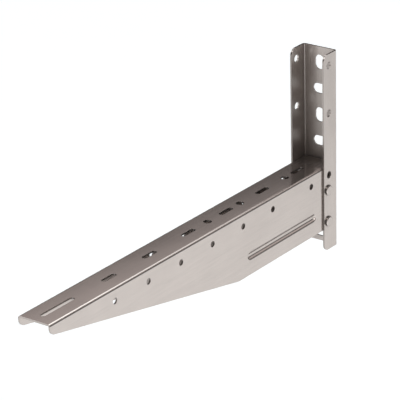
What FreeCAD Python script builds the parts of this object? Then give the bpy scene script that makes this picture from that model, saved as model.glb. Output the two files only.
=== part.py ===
import FreeCAD, Part
import math
import os

# Riveted cantilever bracket: a folded wall channel, a folded arm and four rivets.
# X runs from the wall plane to the tip of the arm, Y across the arm, Z up.
# The origin is on the wall plane, on the centre line, level with the top of the arm. Millimetres.

Vector = FreeCAD.Vector
OUT = Vector(1, 0, 0)
ACROSS = Vector(0, 1, 0)
UP = Vector(0, 0, 1)

# Sheet
sheet = 2.5
arm_bend_inside = 1.0
channel_bend_inside = 2.0

# Arm
arm_length = 650.0
arm_width = 52.0
arm_depth = 97.0
tip_depth = 14.6
taper_start = 244.0
tip_corner = 10.0
arm_end_play = 0.5

# Holes high in both sides of the arm
side_hole = 9.0
side_hole_drop = 18.3
side_hole_first = 64.0
side_hole_second = 160.2
side_hole_pitch = 71.7
side_hole_count = 6

# Openings along the middle of the arm's top
top_slot_width = 8.0
top_slot_length = 28.0
top_slot_first = 61.8
top_slot_pitch = 87.1
top_slot_count = 6
tip_slot_length = 65.0
tip_slot_margin = 14.6
top_hole = 12.0
top_hole_places = (92.7, 202.4, 279.2)

# Bead pressed into both sides of the arm
bead_start = 52.0
bead_end = 222.0
bead_height = 10.6
bead_drop = 69.0
bead_press = 3.0
bead_slope = 45.0
bead_rim_bend = 0.9
bead_floor_bend = 2.5

# Wall channel
channel_height = 300.0
channel_depth = 34.6
channel_above_arm = 170.0
channel_corner = 10.0

# Oblong holes in the back of the wall channel
wall_slot_width = 15.0
wall_slot_length = 22.0
wall_slot_top = 23.2
wall_slot_pitch = 40.0
wall_slot_count = 4
wall_slot_bottom = 14.8

# Round holes in the flanges of the wall channel
flange_hole = 11.0
flange_hole_reach = 22.0
flange_hole_top = 16.8
flange_hole_middle = 89.0
shared_hole_drop = 13.6

# Rivets
rivet_reach = 24.3
rivet_drops = (36.3, 84.9)
rivet_shank = 6.4
rivet_hole_play = 0.2
rivet_head = 14.6
rivet_head_rise = 2.9
rivet_head_rim = 2.1
rivet_head_bevel = 1.3
rivet_tail = 10.0
rivet_tail_rise = 2.4

# Spare length of a cutting tool past the face that it enters and leaves
past = 1.0

# How far from a plane an edge may be and still count as lying in it
flat = 0.01

# Worked out from the sizes above
half_arm = arm_width / 2
half_channel = half_arm + sheet
channel_top = channel_above_arm
channel_bottom = channel_top - channel_height
arm_back = sheet + channel_bend_inside + arm_end_play
bead_half_turn = math.tan(math.radians(bead_slope) / 2)


def rounded_wire(corners, place):
    """Closed wire through corners (u, v, radius), with an arc at each corner that has a radius."""
    edges = []
    ends = []
    count = len(corners)
    for index, (u, v, radius) in enumerate(corners):
        corner = Vector(u, v, 0)
        before = Vector(*corners[index - 1][:2], 0) - corner
        after = Vector(*corners[(index + 1) % count][:2], 0) - corner
        before.normalize()
        after.normalize()
        if radius:
            half_angle = before.getAngle(after) / 2
            setback = radius / math.tan(half_angle)
            bisector = before + after
            bisector.normalize()
            middle = corner + bisector * (radius / math.sin(half_angle) - radius)
            start = corner + before * setback
            finish = corner + after * setback
            edges.append(Part.Arc(place(start), place(middle), place(finish)).toShape())
            ends.append((start, finish))
        else:
            ends.append((corner, corner))
    for index in range(count):
        start = place(ends[index][1])
        finish = place(ends[(index + 1) % count][0])
        edges.append(Part.makeLine(start, finish))
    return Part.Wire(Part.__sortEdges__(edges))


def u_section(width, depth, inside, place):
    """Face of a folded U: its back lies along u at v = 0 and its flanges run to v = depth."""
    half = width / 2
    outside = inside + sheet
    corners = [
        (-half, depth, 0),
        (-half, 0, outside),
        (half, 0, outside),
        (half, depth, 0),
        (half - sheet, depth, 0),
        (half - sheet, sheet, inside),
        (sheet - half, sheet, inside),
        (sheet - half, depth, 0),
    ]
    return Part.Face(rounded_wire(corners, place))


def oblong_wire(centre, length_way, width_way, length, width):
    """Closed wire of an oblong with half-round ends."""
    radius = width / 2
    straight = length_way * (length / 2 - radius)
    side = width_way * radius
    tip = length_way * (length / 2)
    first = Part.makeLine(centre - straight + side, centre + straight + side)
    second = Part.Arc(centre + straight + side, centre + tip, centre + straight - side).toShape()
    third = Part.makeLine(centre + straight - side, centre - straight - side)
    fourth = Part.Arc(centre - straight - side, centre - tip, centre - straight + side).toShape()
    return Part.Wire([first, second, third, fourth])


def oblong_punch(centre, length_way, width_way, length, width, way, travel):
    """Solid that cuts an oblong hole from centre along way for travel."""
    return Part.Face(oblong_wire(centre, length_way, width_way, length, width)).extrude(way * travel)


def round_punch(centre, diameter, way, travel):
    """Solid that cuts a round hole from centre along way for travel."""
    return Part.makeCylinder(diameter / 2, travel, centre, way)


def both_sides_punch(reach, drop, diameter):
    """Solid that cuts the same round hole in both flanges of both folded sheets."""
    across = 2 * (half_channel + past)
    return round_punch(Vector(reach, -across / 2, -drop), diameter, ACROSS, across)


def rivet_holes():
    """Cutters for the rivets' holes, shared by the two sheets that they clamp."""
    return [both_sides_punch(rivet_reach, drop, rivet_shank + rivet_hole_play) for drop in rivet_drops]


def shared_hole():
    """Cutter for the spare round hole that runs through both sheets near the top of the arm."""
    return both_sides_punch(flange_hole_reach, shared_hole_drop, flange_hole)


def wall_channel():
    """Folded U with its back on the wall plane, rounded free corners, and punched holes."""
    section = u_section(
        2 * half_channel, channel_depth, channel_bend_inside, lambda p: Vector(p.y, p.x, channel_bottom)
    )
    body = section.extrude(UP * channel_height)
    side_view = [
        (0, channel_bottom, 0),
        (channel_depth, channel_bottom, channel_corner),
        (channel_depth, channel_top, channel_corner),
        (0, channel_top, 0),
    ]
    outline = rounded_wire(side_view, lambda p: Vector(p.x, -half_channel - past, p.y))
    body = body.common(Part.Face(outline).extrude(ACROSS * (2 * (half_channel + past))))
    cutters = wall_slots() + rivet_holes() + [shared_hole()]
    for drop in (flange_hole_top, flange_hole_middle):
        cutters.append(both_sides_punch(flange_hole_reach, drop - channel_top, flange_hole))
    return body.cut(cutters)


def wall_slots():
    """Cutters for the oblong holes in the channel's back, upright and lying in turn above the arm."""
    heights = [channel_top - wall_slot_top - index * wall_slot_pitch for index in range(wall_slot_count)]
    upright = [index % 2 == 0 for index in range(wall_slot_count)]
    heights.append(channel_bottom + wall_slot_bottom)
    upright.append(False)
    cutters = []
    for height, stands in zip(heights, upright):
        length_way, width_way = (UP, ACROSS) if stands else (ACROSS, UP)
        centre = Vector(-past, 0, height)
        travel = sheet + 2 * past
        cutters.append(
            oblong_punch(centre, length_way, width_way, wall_slot_length, wall_slot_width, OUT, travel)
        )
    return cutters


def arm():
    """Folded inverted U, cut to its tapered side view, with its beads pressed and its holes punched."""
    section = u_section(
        arm_width, arm_depth, arm_bend_inside, lambda p: Vector(arm_back, p.x, -p.y)
    )
    body = section.extrude(OUT * (arm_length - arm_back))
    side_view = [
        (arm_back, 0, 0),
        (arm_length, 0, 0),
        (arm_length, -tip_depth, tip_corner),
        (taper_start, -arm_depth, 0),
        (arm_back, -arm_depth, 0),
    ]
    outline = rounded_wire(side_view, lambda p: Vector(p.x, -half_arm - past, p.y))
    body = body.common(Part.Face(outline).extrude(ACROSS * (2 * (half_arm + past))))
    for side in (1, -1):
        body = press_bead(body, side)
    return body.cut(top_openings() + side_holes() + rivet_holes() + [shared_hole()])


def bead_tool(side, surface, extra, depth):
    """Tapered oblong that enters the arm's side at surface, wider by extra, and runs in to depth."""
    length = bead_end - bead_start
    wires = []
    for reach in (-past, depth):
        grow = 2 * (extra - reach / math.tan(math.radians(bead_slope)))
        centre = Vector(bead_start + length / 2, side * (half_arm - surface - reach), -bead_drop)
        wires.append(oblong_wire(centre, OUT, UP, length + grow, bead_height + grow))
    return Part.makeLoft(wires, True, True)


def press_bead(body, side):
    """Press one bead into a side of the arm: it rises inside by as much as it sinks outside."""
    bulge = bead_tool(side, sheet, sheet * bead_half_turn, bead_press)
    sink = bead_tool(side, 0, 0, bead_press)
    body = body.fuse(bulge).cut(sink).removeSplitter()
    body = body.makeFillet(bead_rim_bend + sheet, bead_outline(body, side, 0))
    body = body.makeFillet(bead_floor_bend, bead_outline(body, side, bead_press))
    base_bevel = bead_rim_bend * bead_half_turn
    crest_bevel = (bead_floor_bend + sheet) * bead_half_turn
    body = body.makeChamfer(base_bevel, bead_outline(body, side, sheet))
    return body.makeChamfer(crest_bevel, bead_outline(body, side, sheet + bead_press))


def bead_outline(body, side, depth):
    """Edges of a bead that lie in the plane at depth below the arm's outer side face."""
    reach = bead_press + sheet
    low = Vector(bead_start - reach, -half_arm - past, -bead_drop - bead_height / 2 - reach)
    high = Vector(bead_end + reach, half_arm + past, -bead_drop + bead_height / 2 + reach)
    region = FreeCAD.BoundBox(low, high)
    level = side * (half_arm - depth)
    return [edge for edge in body.Edges if region.isInside(edge.BoundBox) and lies_at(edge, level)]


def lies_at(edge, level):
    """Whether an edge lies in the plane at level across the arm."""
    box = edge.BoundBox
    return box.YLength < flat and abs(box.Center.y - level) < flat


def top_openings():
    """Cutters for the slots and round holes along the middle of the arm's top."""
    start = -sheet - past
    travel = sheet + 2 * past
    cutters = []
    for index in range(top_slot_count):
        centre = Vector(top_slot_first + index * top_slot_pitch, 0, start)
        cutters.append(oblong_punch(centre, OUT, ACROSS, top_slot_length, top_slot_width, UP, travel))
    tip_slot_centre = Vector(arm_length - tip_slot_margin - tip_slot_length / 2, 0, start)
    cutters.append(oblong_punch(tip_slot_centre, OUT, ACROSS, tip_slot_length, top_slot_width, UP, travel))
    for place in top_hole_places:
        cutters.append(round_punch(Vector(place, 0, start), top_hole, UP, travel))
    return cutters


def side_holes():
    """Cutters for the row of round holes high in both sides of the arm."""
    places = [side_hole_first]
    places += [side_hole_second + index * side_hole_pitch for index in range(side_hole_count)]
    return [both_sides_punch(place, side_hole_drop, side_hole) for place in places]


def rivet(side, drop):
    """One rivet: low bevelled head outside the channel, shank through both sheets, formed tail inside."""
    grip = 2 * sheet
    head = rivet_head / 2
    shank = rivet_shank / 2
    tail = rivet_tail / 2

    def place(radius, height):
        return Vector(rivet_reach + radius, side * (half_channel + height), -drop)

    half_section = [
        (0, rivet_head_rise),
        (head - rivet_head_bevel, rivet_head_rise),
        (head, rivet_head_rim),
        (head, 0),
        (shank, 0),
        (shank, -grip),
        (tail, -grip),
        (tail, -grip - rivet_tail_rise),
        (0, -grip - rivet_tail_rise),
    ]
    corners = [place(radius, height) for radius, height in half_section]
    profile = Part.Face(Part.makePolygon(corners + corners[:1]))
    return profile.revolve(place(0, 0), ACROSS, 360)


def rivets():
    """Four rivets, two on each side."""
    return Part.makeCompound([rivet(side, drop) for side in (1, -1) for drop in rivet_drops])


def write(name, shape):
    """Write one sub-part to its STEP file and report its size."""
    assert shape.isValid(), name
    shape.exportStep("parts/" + name + ".step")
    box = shape.BoundBox
    print(name, "solids", len(shape.Solids), "volume", round(shape.Volume), "box", box)


os.makedirs("parts", exist_ok=True)
write("wall_channel", wall_channel())
write("arm", arm())
write("rivets", rivets())
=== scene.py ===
import math

import bpy
from mathutils import Matrix, Vector


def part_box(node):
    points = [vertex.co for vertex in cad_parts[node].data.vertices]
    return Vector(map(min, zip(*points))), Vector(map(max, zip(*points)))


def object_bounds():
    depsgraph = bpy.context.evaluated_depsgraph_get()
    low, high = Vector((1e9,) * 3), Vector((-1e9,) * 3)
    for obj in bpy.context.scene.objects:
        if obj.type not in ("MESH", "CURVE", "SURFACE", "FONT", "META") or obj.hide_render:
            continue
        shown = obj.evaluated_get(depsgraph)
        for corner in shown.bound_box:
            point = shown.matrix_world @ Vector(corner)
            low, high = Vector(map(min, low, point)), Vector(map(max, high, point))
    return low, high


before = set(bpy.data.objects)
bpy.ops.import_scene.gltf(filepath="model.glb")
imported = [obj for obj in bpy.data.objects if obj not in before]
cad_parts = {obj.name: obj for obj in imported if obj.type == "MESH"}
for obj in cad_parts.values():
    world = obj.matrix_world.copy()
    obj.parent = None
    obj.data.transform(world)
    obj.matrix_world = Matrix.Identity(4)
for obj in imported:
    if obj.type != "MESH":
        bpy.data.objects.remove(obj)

# Riveted cantilever bracket in satin stainless steel, in a plain pale studio.
# Metres, in the part's frame: X from the wall to the tip, Y across the arm, Z up.

cad_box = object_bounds()
arm_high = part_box("arm")[1]

# The arm's sheet, and the inner faces of its sides and of its top
sheet = 0.0025
side_inner = arm_high.y - sheet
top_inner = arm_high.z - sheet

# A mask takes in a face with this slack. The slots keep this margin from the arm's outline, and the painted
# shade lines of its folds lie within this band of its width, on each side.
face_slack = 0.0001
slot_margin = 2 * sheet
fold_band = 0.0015

# The arm's bead: its middle and its straight stretch
bead_x = 0.137
bead_z = -0.069
bead_straight = 0.1594

# Colour of the steel and of its rubbed edges, lighter there as wear and as a painted highlight, and the tone
# of what it mirrors at a glancing angle
steel_colour = (0.571, 0.513, 0.481)
rubbed_highlight_colour = (0.80, 0.76, 0.73)
rubbed_highlight_share = 0.12
metal_share = 0.93
glancing_tint = 0.5

# Rolled grain, mottling and wide patches: how fine they are, and what they do to tone and roughness.
# A span holds the values between which the noise goes from its least effect to its most.
grain_scale = 1.0
grain_depth = 0.0000024
grain_detail = 3.0
grain_tone = 0.04
grain_roughness = (-0.015, 0.02)
mottle_scale = 22.0
mottle_detail = 3.0
mottle_tone = 0.02
patch_scale = 6.0
patch_detail = 1.0
patch_roughness = 0.015
noise_span = (0.3, 0.7)
wide_noise_span = (0.25, 0.75)

# Edges: the rounding that they are drawn with, and the wider one that tells where they are rubbed and carry a
# painted highlight.
# Wear and highlight start where that one's normal is as like the true one as the first value, and are full at
# the second.
edge_round = 0.00025
wear_round = 0.0009
round_samples = 4
wear_likeness = (0.97, 0.80)

# Painted shade in recesses: how far off a face may be and still darken another
recess_shade_distance = 0.1
recess_shade_samples = 8

# A normal's part along an axis: over the first, its face is square to the axis, and under the second, the
# face runs along it
square_to = 0.8
runs_along = 0.3

# A painted shade line is at its darkest over this share of its width
line_core = 0.2

# Camera, as the photograph was taken
camera_azimuth = math.radians(36.763)
camera_elevation = math.radians(22.929)
camera_roll = math.radians(-1.486)
camera_distance = 3.3972
camera_lens = 225.82
camera_sensor = 36
camera_clip = (0.1, 100)
camera_aim = Vector((0.29494, 0, 0.03760))

# Floor, whose glow to the eye and to gloss falls from the first to the second over the fade, in Y less X
floor_drop = 0.6
floor_size = 5.6
floor_tone = (0.865, 0.886, 0.894)
floor_roughness = 0.9
floor_gloss = 0.1
floor_fade = (2.0, 3.2)
floor_glow = (0.30, 0.15)

# Lamp
lamp_place = Vector((0.9, 2.2, 1.7))
lamp_aim = Vector((0.2, 0, 0))
lamp_size = 1.0
lamp_power = 23

# Room: elevation in degrees, tone, and share of the warm tint, which is cooler where it is below 0
room_tint = (1.0, 0.92, 0.91)
room_peak = 3.1
room_light = (
    (0, 1.0, 0.0),
    (3, 0.8, 0.0),
    (6, 0.3, 0.0),
    (9, 0.04, 1.0),
    (23.0, 0.025, 1.0),
    (25.6, 0.84, 1.0),
    (28, 0.72, 1.0),
    (33, 0.62, 1.0),
    (38, 0.45, 1.0),
    (40.5, 0.52, 0.5),
    (43, 1.65, -0.5),
    (47, 3.0, -0.5),
    (52, 1.6, -0.5),
    (61, 0.3, 0.5),
    (90, 0.3, 0.5),
)


def feed(tree, socket, value):
    """Link a socket to another one, or give it a plain value."""
    if isinstance(value, bpy.types.NodeSocket):
        tree.links.new(value, socket)
    else:
        socket.default_value = value


def maths(tree, operation, first, second=0.0):
    """Result of a Math node on two values or sockets."""
    made = tree.nodes.new("ShaderNodeMath")
    made.operation = operation
    feed(tree, made.inputs[0], first)
    feed(tree, made.inputs[1], second)
    return made.outputs[0]


def product(tree, first, *others):
    """Product of two or more values, which for masks is 1 where all of them hold."""
    for value in others:
        first = maths(tree, "MULTIPLY", first, value)
    return first


def size_of(tree, value):
    """Value without its sign."""
    return maths(tree, "ABSOLUTE", value)


def over(tree, value, limit):
    """1 where value is more than limit, 0 elsewhere."""
    return maths(tree, "GREATER_THAN", value, limit)


def under(tree, value, limit):
    """1 where value is less than limit, 0 elsewhere."""
    return maths(tree, "LESS_THAN", value, limit)


def between(tree, value, low, high):
    """1 where value lies between low and high, 0 elsewhere."""
    return product(tree, over(tree, value, low), under(tree, value, high))


def ramp(tree, value, low, high, low_result, high_result):
    """Value carried smoothly from low_result at low to high_result at high."""
    made = tree.nodes.new("ShaderNodeMapRange")
    made.interpolation_type = "SMOOTHSTEP"
    feed(tree, made.inputs["Value"], value)
    feed(tree, made.inputs["From Min"], low)
    feed(tree, made.inputs["From Max"], high)
    feed(tree, made.inputs["To Min"], low_result)
    feed(tree, made.inputs["To Max"], high_result)
    return made.outputs["Result"]


def mix_colours(tree, factor, first, second, blend="MIX"):
    """Result of a Mix Color node."""
    made = tree.nodes.new("ShaderNodeMix")
    made.data_type = "RGBA"
    made.blend_type = blend
    for socket, value in zip((made.inputs[0], made.inputs[6], made.inputs[7]), (factor, first, second)):
        feed(tree, socket, value)
    return made.outputs[2]


def darken(tree, colour, share, tone):
    """Colour taken down to tone of itself, by share."""
    dull = mix_colours(tree, 1.0, colour, (tone, tone, tone, 1), "MULTIPLY")
    return mix_colours(tree, share, colour, dull)


def split(tree, vector):
    """X, Y and Z of a vector."""
    made = tree.nodes.new("ShaderNodeSeparateXYZ")
    tree.links.new(vector, made.inputs[0])
    return made.outputs


def true_normal(tree):
    """The surface's own normal."""
    return tree.nodes.new("ShaderNodeNewGeometry").outputs["True Normal"]


def rounded_normal(tree, radius):
    """The surface's normal as if its edges were rounded to a radius."""
    made = tree.nodes.new("ShaderNodeBevel")
    made.samples = round_samples
    made.inputs["Radius"].default_value = radius
    return made.outputs[0]


def noise(tree, place, scale, detail, stretch=(1, 1, 1)):
    """Noise over the part, stretched along the grain."""
    mapping = tree.nodes.new("ShaderNodeMapping")
    mapping.inputs["Scale"].default_value = stretch
    tree.links.new(place, mapping.inputs["Vector"])
    made = tree.nodes.new("ShaderNodeTexNoise")
    made.inputs["Scale"].default_value = scale
    made.inputs["Detail"].default_value = detail
    tree.links.new(mapping.outputs[0], made.inputs["Vector"])
    return made.outputs["Fac"]


def edge_wear_and_highlight(tree):
    """1 on the worn edges of the sheet, which also carry a painted highlight, 0 on its faces: where a wide
    rounding turns the surface most.
    """
    likeness = tree.nodes.new("ShaderNodeVectorMath")
    likeness.operation = "DOT_PRODUCT"
    tree.links.new(rounded_normal(tree, wear_round), likeness.inputs[0])
    tree.links.new(true_normal(tree), likeness.inputs[1])
    return ramp(tree, likeness.outputs["Value"], *wear_likeness, 0.0, 1.0)


def cut_faces(tree, place, cut):
    """1 on the faces that the shears and punches left, 0 on the sheet's own faces.

    They are the faces square to one axis, and those square to another that lie past a place on it.
    On the channel and the rivets they carry painted shade, and where a near share is given, the near side has
    only that share of it.
    """
    normal = split(tree, true_normal(tree))
    point = split(tree, place)
    ends = over(tree, size_of(tree, normal[cut["ends"]]), square_to)
    edges = over(tree, size_of(tree, normal[cut["edges"]]), square_to)
    if "past" in cut:
        edges = product(tree, edges, over(tree, product(tree, point[cut["edges"]], cut["way"]), cut["past"]))
    cut_face = maths(tree, "MAXIMUM", ends, edges)
    if "near_shade_share" in cut:
        near = over(tree, point["Y"], 0.0)
        cut_face = product(tree, cut_face, ramp(tree, near, 0.0, 1.0, 1.0, cut["near_shade_share"]))
    return cut_face


def slot_walls(tree, place, slots):
    """1 on the walls of the slots and holes in the arm's top, 0 elsewhere."""
    point = split(tree, place)
    upright = under(tree, size_of(tree, split(tree, true_normal(tree))["Z"]), runs_along)
    within = under(tree, size_of(tree, point["Y"]), slots["half"])
    short = under(tree, point["X"], slots["end"])
    high = over(tree, point["Z"], slots["level"])
    return product(tree, upright, within, short, high)


def side_hole_walls(tree, place, holes):
    """1 on the walls of the round holes high in the arm's sides, 0 elsewhere."""
    point = split(tree, place)
    crosswise = under(tree, size_of(tree, split(tree, true_normal(tree))["Y"]), runs_along)
    outside = over(tree, size_of(tree, point["Y"]), holes["past"])
    in_row = between(tree, point["X"], *holes["reach"])
    in_height = between(tree, point["Z"], *holes["levels"])
    return product(tree, crosswise, outside, in_row, in_height)


def thin_line(tree, value, middle, width):
    """1 where value is at middle, falling smoothly to 0 at a width off it."""
    off = size_of(tree, maths(tree, "SUBTRACT", value, middle))
    return ramp(tree, off, line_core * width, width, 1.0, 0.0)


def bead_shade_line(tree, place, line):
    """1 on a thin level line along the bead, where shade is painted, 0 elsewhere."""
    point = split(tree, place)
    along = size_of(tree, maths(tree, "SUBTRACT", point["X"], bead_x))
    within = under(tree, along, bead_straight / 2)
    return product(tree, within, thin_line(tree, point["Z"], bead_z + line["rise"], line["width"]))


def fold_shade_lines(tree, place, line):
    """1 on a thin level line on the outside of each of the sheet's two folds, where shade is painted, 0
    elsewhere.
    """
    point = split(tree, place)
    outside = over(tree, size_of(tree, point["Y"]), line["past"])
    return product(tree, outside, thin_line(tree, point["Z"], line["level"], line["width"]))


def shade_lift_inside(tree, place, inside):
    """Share by which the painted shade in a recess is lightened high up inside the folded sheet, most of all
    near the wall.
    """
    point = split(tree, place)
    within = under(tree, size_of(tree, point["Y"]), inside["half"])
    below = under(tree, point["Z"], inside["top"])
    high = ramp(tree, point["Z"], *inside["levels"], 0.0, 1.0)
    share = ramp(tree, point["X"], *inside["reach"], inside["wall_share"], inside["tip_share"])
    return product(tree, share, high, within, below)


def recess_shade_depth(tree, place, recess):
    """1 deep in a recess of the part, where shade is painted and the steel is rougher, 0 where it is open."""
    shade = tree.nodes.new("ShaderNodeAmbientOcclusion")
    shade.samples = recess_shade_samples
    shade.inputs["Distance"].default_value = recess_shade_distance
    depth = ramp(tree, shade.outputs["AO"], *recess["open"], 1.0, 0.0)
    if "fade" in recess:
        depth = product(tree, depth, ramp(tree, split(tree, place)["X"], *recess["fade"], 1.0, 0.0))
    if "inside" in recess:
        kept = maths(tree, "SUBTRACT", 1.0, shade_lift_inside(tree, place, recess["inside"]))
        depth = product(tree, depth, kept)
    return depth


def surface_normal(tree, place, streaks, crown):
    """Normal of the sheet: its rounded edges, its grain, and its crown between the folds if it has one."""
    height = product(tree, streaks, grain_depth)
    if crown:
        across = split(tree, place)["Y"]
        height = maths(tree, "SUBTRACT", height, product(tree, across, across, crown))
    bump = tree.nodes.new("ShaderNodeBump")
    bump.inputs["Strength"].default_value = 1.0
    bump.inputs["Distance"].default_value = 1.0
    tree.links.new(height, bump.inputs["Height"])
    tree.links.new(rounded_normal(tree, edge_round), bump.inputs["Normal"])
    return bump.outputs[0]


def new_material(name):
    """A new material, its node tree and its shader."""
    material = bpy.data.materials.new(name)
    material.use_nodes = True
    return material, material.node_tree, material.node_tree.nodes["Principled BSDF"]


def steel(name, grain, roughness, shade_marks, recess, crown=0.0):
    """Satin stainless steel: rolled grain, soft mottling, worn edges with a painted highlight, darker cut
    faces, and painted shade in recesses, on walls and along lines.
    """
    material, tree, shader = new_material(name)
    place = tree.nodes.new("ShaderNodeTexCoord").outputs["Object"]
    streaks = noise(tree, place, grain_scale, grain_detail, grain)
    mottle = noise(tree, place, mottle_scale, mottle_detail)
    patches = noise(tree, place, patch_scale, patch_detail)
    depth = recess_shade_depth(tree, place, recess)

    mottle_speckle = ramp(tree, mottle, *noise_span, 1 - mottle_tone, 1 + mottle_tone)
    grain_speckle = ramp(tree, streaks, *noise_span, -grain_tone, grain_tone)
    speckle = maths(tree, "ADD", mottle_speckle, grain_speckle)
    colour = mix_colours(tree, 1.0, (*steel_colour, 1), speckle, "MULTIPLY")
    # Painted shade on walls, along lines and on the channel's cut faces and the rivets' rims; the arm's cut
    # faces are a little darker
    for mask, shade_mark in shade_marks:
        colour = darken(tree, colour, mask(tree, place, shade_mark), shade_mark["tone"])
    # Worn edges are lightened, as wear and as a painted highlight
    wear_and_highlight = product(tree, edge_wear_and_highlight(tree), rubbed_highlight_share)
    colour = mix_colours(tree, wear_and_highlight, colour, (*rubbed_highlight_colour, 1))
    # Painted shade in recesses
    colour = darken(tree, colour, depth, recess["tone"])
    tree.links.new(colour, shader.inputs["Base Color"])

    patchy = ramp(tree, patches, *noise_span, roughness - patch_roughness, roughness + patch_roughness)
    rough = maths(tree, "ADD", patchy, ramp(tree, streaks, *wide_noise_span, *grain_roughness))
    rough = maths(tree, "ADD", rough, product(tree, depth, recess["roughness"]))
    tree.links.new(rough, shader.inputs["Roughness"])

    shader.inputs["Metallic"].default_value = metal_share
    shader.inputs["Specular Tint"].default_value = (glancing_tint, glancing_tint, glancing_tint, 1)
    tree.links.new(surface_normal(tree, place, streaks, crown), shader.inputs["Normal"])
    return material


def dress(node, material):
    """Give a node of the frame its finish."""
    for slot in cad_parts[node].material_slots:
        slot.material = material


def add_object(name, data):
    """A new object in the scene."""
    made = bpy.data.objects.new(name, data)
    bpy.context.scene.collection.objects.link(made)
    return made


def look_matrix():
    """Camera's place and turn, from its azimuth, elevation, roll and the point that it aims at."""
    level = math.cos(camera_elevation)
    back = Vector(
        (level * math.cos(camera_azimuth), level * math.sin(camera_azimuth), math.sin(camera_elevation))
    )
    level_right = Vector((0, 0, 1)).cross(back).normalized()
    level_up = back.cross(level_right)
    right = math.cos(camera_roll) * level_right + math.sin(camera_roll) * level_up
    up = math.cos(camera_roll) * level_up - math.sin(camera_roll) * level_right
    turn = Matrix((right, up, back)).transposed().to_4x4()
    return Matrix.Translation(camera_aim + camera_distance * back) @ turn


def add_camera():
    """The photograph's camera."""
    data = bpy.data.cameras.new("camera")
    data.sensor_width = camera_sensor
    data.lens = camera_lens
    data.clip_start, data.clip_end = camera_clip
    camera = add_object("camera", data)
    camera.matrix_world = look_matrix()
    bpy.context.scene.camera = camera


def clear_underside(tree, shader):
    """Let a surface be seen through from its back, so that it hides nothing from below."""
    clear = tree.nodes.new("ShaderNodeBsdfTransparent")
    mixed = tree.nodes.new("ShaderNodeMixShader")
    back = tree.nodes.new("ShaderNodeNewGeometry").outputs["Backfacing"]
    tree.links.new(back, mixed.inputs[0])
    tree.links.new(shader.outputs[0], mixed.inputs[1])
    tree.links.new(clear.outputs[0], mixed.inputs[2])
    tree.links.new(mixed.outputs[0], tree.nodes["Material Output"].inputs["Surface"])


def floor_material():
    """Pale matt floor that glows a little to the eye and to gloss, and is clear from below."""
    material, tree, shader = new_material("pale_floor")
    shader.inputs["Base Color"].default_value = (*floor_tone, 1)
    shader.inputs["Roughness"].default_value = floor_roughness
    shader.inputs["Specular IOR Level"].default_value = floor_gloss
    shader.inputs["Emission Color"].default_value = (1, 1, 1, 1)
    ray = tree.nodes.new("ShaderNodeLightPath").outputs
    mirrored = maths(tree, "MAXIMUM", ray["Is Glossy Ray"], ray["Is Transmission Ray"])
    seen = maths(tree, "MAXIMUM", ray["Is Camera Ray"], mirrored)
    point = split(tree, tree.nodes.new("ShaderNodeTexCoord").outputs["Object"])
    glow = ramp(tree, maths(tree, "SUBTRACT", point["Y"], point["X"]), *floor_fade, *floor_glow)
    tree.links.new(product(tree, seen, glow), shader.inputs["Emission Strength"])
    clear_underside(tree, shader)
    return material


def add_floor():
    """Wide pale floor, well below the bracket, which hangs as if from its wall."""
    half = floor_size / 2
    level = cad_box[0].z - floor_drop
    corners = [(-half, -half, level), (half, -half, level), (half, half, level), (-half, half, level)]
    mesh = bpy.data.meshes.new("floor")
    mesh.from_pydata(corners, [], [(0, 1, 2, 3)])
    mesh.materials.append(floor_material())
    add_object("floor", mesh)


def room_colour(tone, tint):
    """Colour of the room at a tone, tinted by a share of its warm tint, as a part of the peak."""
    return (*(tone / room_peak * (1 - tint + tint * part) for part in room_tint), 1)


def add_world():
    """Studio round the bracket, in level bands: pale, dark, grey, one bright and soft, and grey overhead."""
    world = bpy.data.worlds.new("studio")
    bpy.context.scene.world = world
    world.use_nodes = True
    tree = world.node_tree
    bands = tree.nodes.new("ShaderNodeValToRGB")
    height = split(tree, tree.nodes.new("ShaderNodeTexCoord").outputs["Generated"])["Z"]
    tree.links.new(height, bands.inputs["Fac"])
    elements = bands.color_ramp.elements
    elements[0].color = room_colour(*room_light[0][1:])
    elements[1].color = room_colour(*room_light[-1][1:])
    for elevation, tone, tint in room_light[1:-1]:
        elements.new(math.sin(math.radians(elevation))).color = room_colour(tone, tint)
    background = tree.nodes["Background"]
    tree.links.new(bands.outputs["Color"], background.inputs["Color"])
    background.inputs["Strength"].default_value = room_peak


def add_lamp():
    """Square soft lamp above the near side of the arm."""
    data = bpy.data.lights.new("key_lamp", "AREA")
    data.shape = "SQUARE"
    data.size = lamp_size
    data.energy = lamp_power
    lamp = add_object("key_lamp", data)
    lamp.location = lamp_place
    lamp.rotation_mode = "QUATERNION"
    lamp.rotation_quaternion = (lamp_aim - lamp_place).to_track_quat("-Z", "Y")


bpy.context.scene.view_settings.view_transform = "Standard"
add_camera()
add_floor()
add_world()
add_lamp()

# Darker marks, with tones as shares of the steel's own. The arm's cut faces, its ends and the lower edges of
# its sides, are a little darker. The channel's cut faces, its ends and its flanges' free edges, carry painted
# shade, less of it on the near side.
# The rivets carry painted shade on the parts of their rims that face along the arm, up or down.
arm_cut = {"ends": "X", "edges": "Z", "way": -1, "past": 0.006, "tone": 0.85}
channel_cut_shade = {"ends": "Z", "edges": "X", "way": 1, "past": 0.02, "tone": 0.45, "near_shade_share": 0.58}
rivet_rim_shade = {"ends": "X", "edges": "Z", "tone": 0.3}
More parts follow.
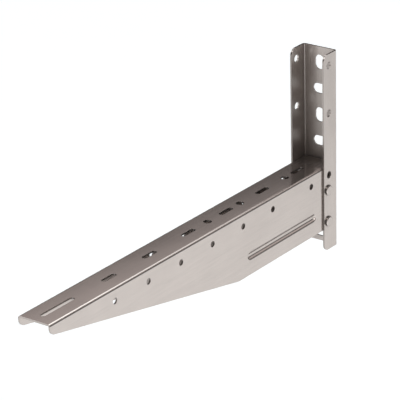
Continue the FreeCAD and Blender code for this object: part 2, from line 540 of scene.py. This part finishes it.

# Painted shade on the walls of the slots, which lie between the arm's folds and short of its tip, and of its
# side holes, which lie within these levels and reach
arm_slot_wall_shade = {
    "half": arm_high.y - slot_margin,
    "end": arm_high.x - slot_margin,
    "level": top_inner - face_slack,
    "tone": 0.42,
}
arm_hole_wall_shade = {
    "past": side_inner - 3 * face_slack,
    "levels": (-0.024, -0.008),
    "reach": (0.01, 0.53),
    "tone": 0.48,
}

# Painted shade lines low on the arm's folds and beside its bead, standing in for their shade and dark
# reflections, where rise is from the bead's middle
arm_fold_shade_line = {"past": arm_high.y - fold_band, "level": -0.0026, "width": 0.0009, "tone": 0.36}
arm_bead_shade_lines = (
    {"rise": 0.0061, "width": 0.0007, "tone": 0.45},
    {"rise": -0.0020, "width": 0.0009, "tone": 0.42},
    {"rise": -0.0058, "width": 0.0009, "tone": 0.40},
)
arm_shade_marks = [
    (cut_faces, arm_cut),
    (slot_walls, arm_slot_wall_shade),
    (side_hole_walls, arm_hole_wall_shade),
    (fold_shade_lines, arm_fold_shade_line),
    *((bead_shade_line, line) for line in arm_bead_shade_lines),
]
channel_shade_marks = [(cut_faces, channel_cut_shade)]
rivet_shade_marks = [(cut_faces, rivet_rim_shade)]

# Painted shade in recesses goes from its darkest to none between two shares of open sky, and ends over the
# fade along the arm.
# Under the arm's top the painted shade is lightened: in full above the levels, by a share that falls over the
# reach.
rivet_recess_shade = {"open": (0.4, 0.75), "fade": (0.50, 0.57), "tone": 0.57, "roughness": 0.15}
arm_inside_shade_lift = {
    "half": side_inner + 2 * face_slack,
    "top": top_inner + face_slack,
    "levels": (-0.045, -0.030),
    "reach": (0.15, 0.28),
    "wall_share": 1.0,
    "tip_share": 0.4,
}
arm_recess_shade = {**rivet_recess_shade, "inside": arm_inside_shade_lift}
channel_recess_shade = {"open": (0.5, 1.0), "tone": 0.60, "roughness": 0.22}

# Grain is long along each sheet, and crown is how fast the arm's top falls off from its middle
arm_grain = (18, 900, 900)
arm_roughness = 0.15
arm_crown = 0.2
channel_grain = (900, 900, 18)
channel_roughness = 0.18
rivet_grain = (500, 40, 500)
rivet_roughness = 0.20

arm_steel = steel("satin_arm", arm_grain, arm_roughness, arm_shade_marks, arm_recess_shade, arm_crown)
channel_steel = steel("satin_channel", channel_grain, channel_roughness, channel_shade_marks, channel_recess_shade)
rivet_steel = steel("satin_rivets", rivet_grain, rivet_roughness, rivet_shade_marks, rivet_recess_shade)
dress("arm", arm_steel)
dress("wall_channel", channel_steel)
dress("rivets", rivet_steel)
